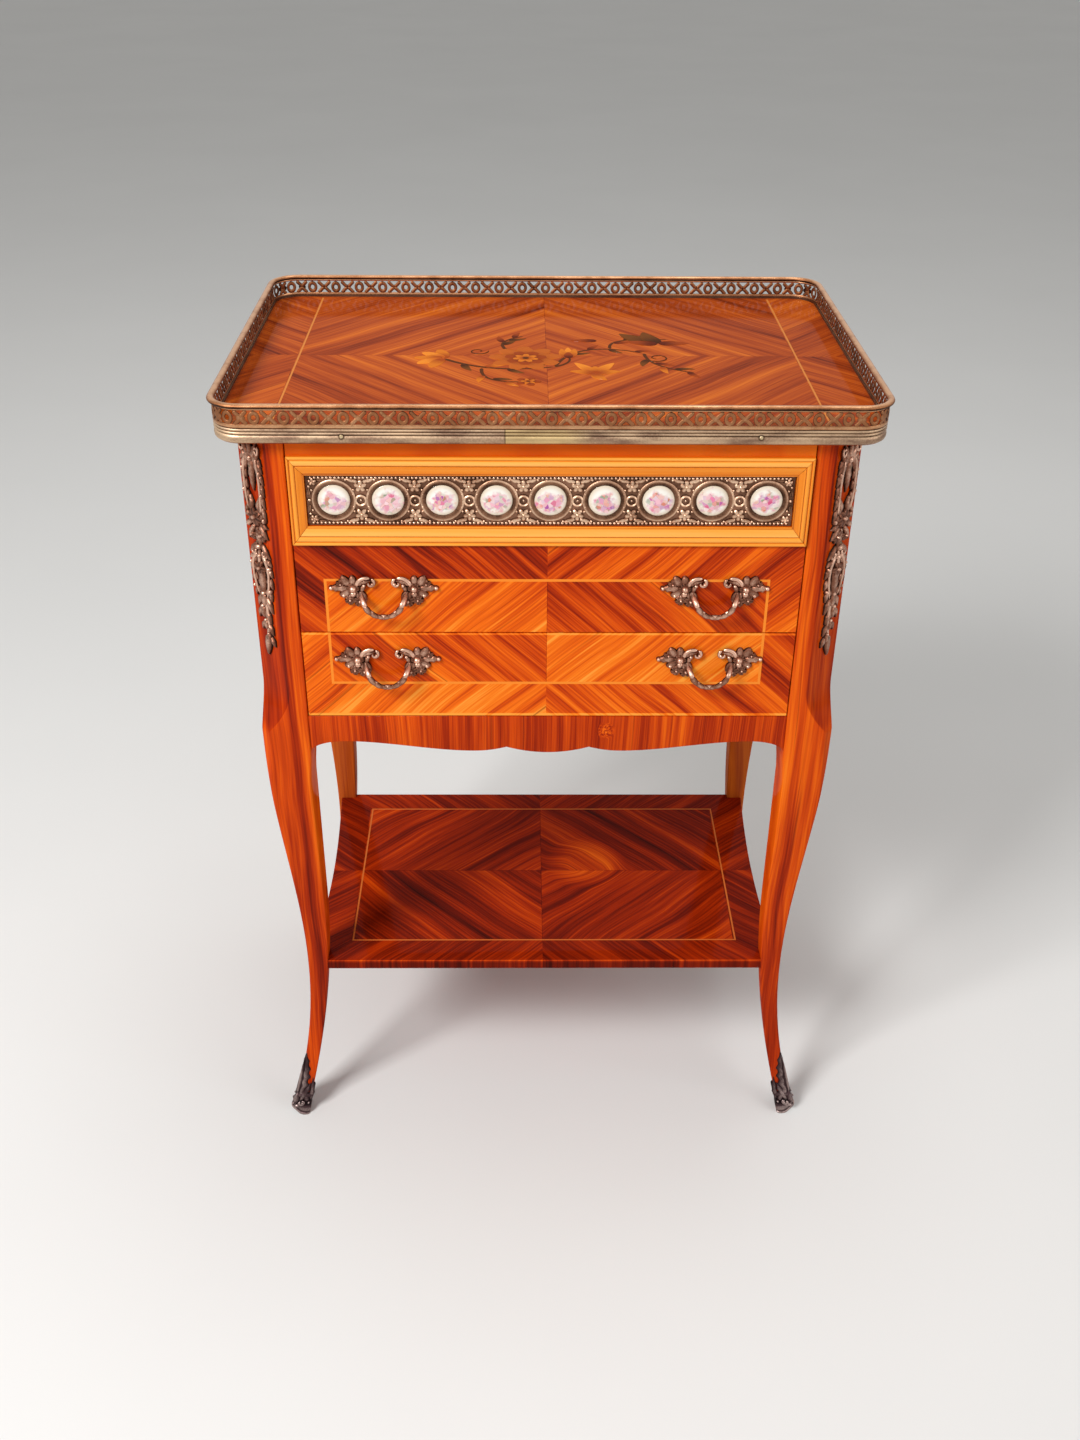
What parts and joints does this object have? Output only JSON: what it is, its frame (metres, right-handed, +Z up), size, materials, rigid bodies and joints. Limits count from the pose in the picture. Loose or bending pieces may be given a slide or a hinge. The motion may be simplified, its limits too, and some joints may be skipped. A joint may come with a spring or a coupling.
{
  "type": "nightstand",
  "caption": "Small veneered side table on cabriole legs with stacked drawers, pierced brass gallery, plaque frieze, cast pulls, corner mounts and foot sabots, and a low shelf",
  "frame": {"origin": "on the floor, under the centre of the table's outline", "axes": "+Z up, +X to the right as seen from the front, -Y towards the front where the drawers open"},
  "size_m": [0.512, 0.3574, 0.735],
  "materials": {
    "veneered_wood": "french polish",
    "dark_wood": "french polish",
    "drawer_wood": "matt",
    "honey_wood": "satin",
    "inlay_wood": "french polish",
    "antique_bronze": "aged",
    "brass": "aged satin",
    "porcelain": "gloss"
  },
  "bodies": {
    "carcass": {"leg_front_left": "veneered_wood", "leg_front_right": "veneered_wood", "leg_back_left": "veneered_wood", "leg_back_right": "veneered_wood", "side_panel_left": "veneered_wood", "side_panel_right": "veneered_wood", "back_panel": "dark_wood", "apron_front": "veneered_wood", "apron_back": "veneered_wood", "apron_left": "veneered_wood", "apron_right": "veneered_wood", "top_rail_front": "drawer_wood", "top_rail_back": "drawer_wood", "blade_upper": "drawer_wood", "blade_lower": "drawer_wood", "drawer_runners": "drawer_wood", "drawer_guides": "drawer_wood", "bottom_board": "drawer_wood", "top_panel": "veneered_wood", "top_stringing": "inlay_wood", "edge_band": "brass", "gallery_strip": "antique_bronze", "gallery_rail": "antique_bronze", "band_nails": "brass", "top_screws": "brass", "corner_mount_left": "antique_bronze", "corner_mount_right": "antique_bronze", "mount_pins": "brass", "sabot_front_left": "antique_bronze", "sabot_front_right": "antique_bronze", "sabot_back_left": "antique_bronze", "sabot_back_right": "antique_bronze", "shelf_panel": "dark_wood", "shelf_stringing": "inlay_wood", "shelf_dowels": "drawer_wood"},
    "top_drawer": {"top_drawer_front": "veneered_wood", "top_drawer_side_left": "drawer_wood", "top_drawer_side_right": "drawer_wood", "top_drawer_back": "drawer_wood", "top_drawer_bottom": "drawer_wood", "frame_moulding": "honey_wood", "frieze_strip": "antique_bronze", "plaques": "porcelain", "frieze_pins": "brass"},
    "middle_drawer": {"middle_drawer_front": "veneered_wood", "middle_drawer_side_left": "drawer_wood", "middle_drawer_side_right": "drawer_wood", "middle_drawer_back": "drawer_wood", "middle_drawer_bottom": "drawer_wood", "middle_handle_left": "antique_bronze", "middle_handle_right": "antique_bronze", "middle_handle_screws": "brass"},
    "lower_drawer": {"lower_drawer_front": "veneered_wood", "lower_drawer_side_left": "drawer_wood", "lower_drawer_side_right": "drawer_wood", "lower_drawer_back": "drawer_wood", "lower_drawer_bottom": "drawer_wood", "lower_handle_left": "antique_bronze", "lower_handle_right": "antique_bronze", "lower_handle_screws": "brass"}
  },
  "joints": [
    {"name": "top_drawer_slide", "type": "slide", "parent": "carcass", "child": "top_drawer", "axis": [0, -1, 0], "range_m": [0, 0.21]},
    {"name": "middle_drawer_slide", "type": "slide", "parent": "carcass", "child": "middle_drawer", "axis": [0, -1, 0], "range_m": [0, 0.21]},
    {"name": "lower_drawer_slide", "type": "slide", "parent": "carcass", "child": "lower_drawer", "axis": [0, -1, 0], "range_m": [0, 0.21]}
  ]
}
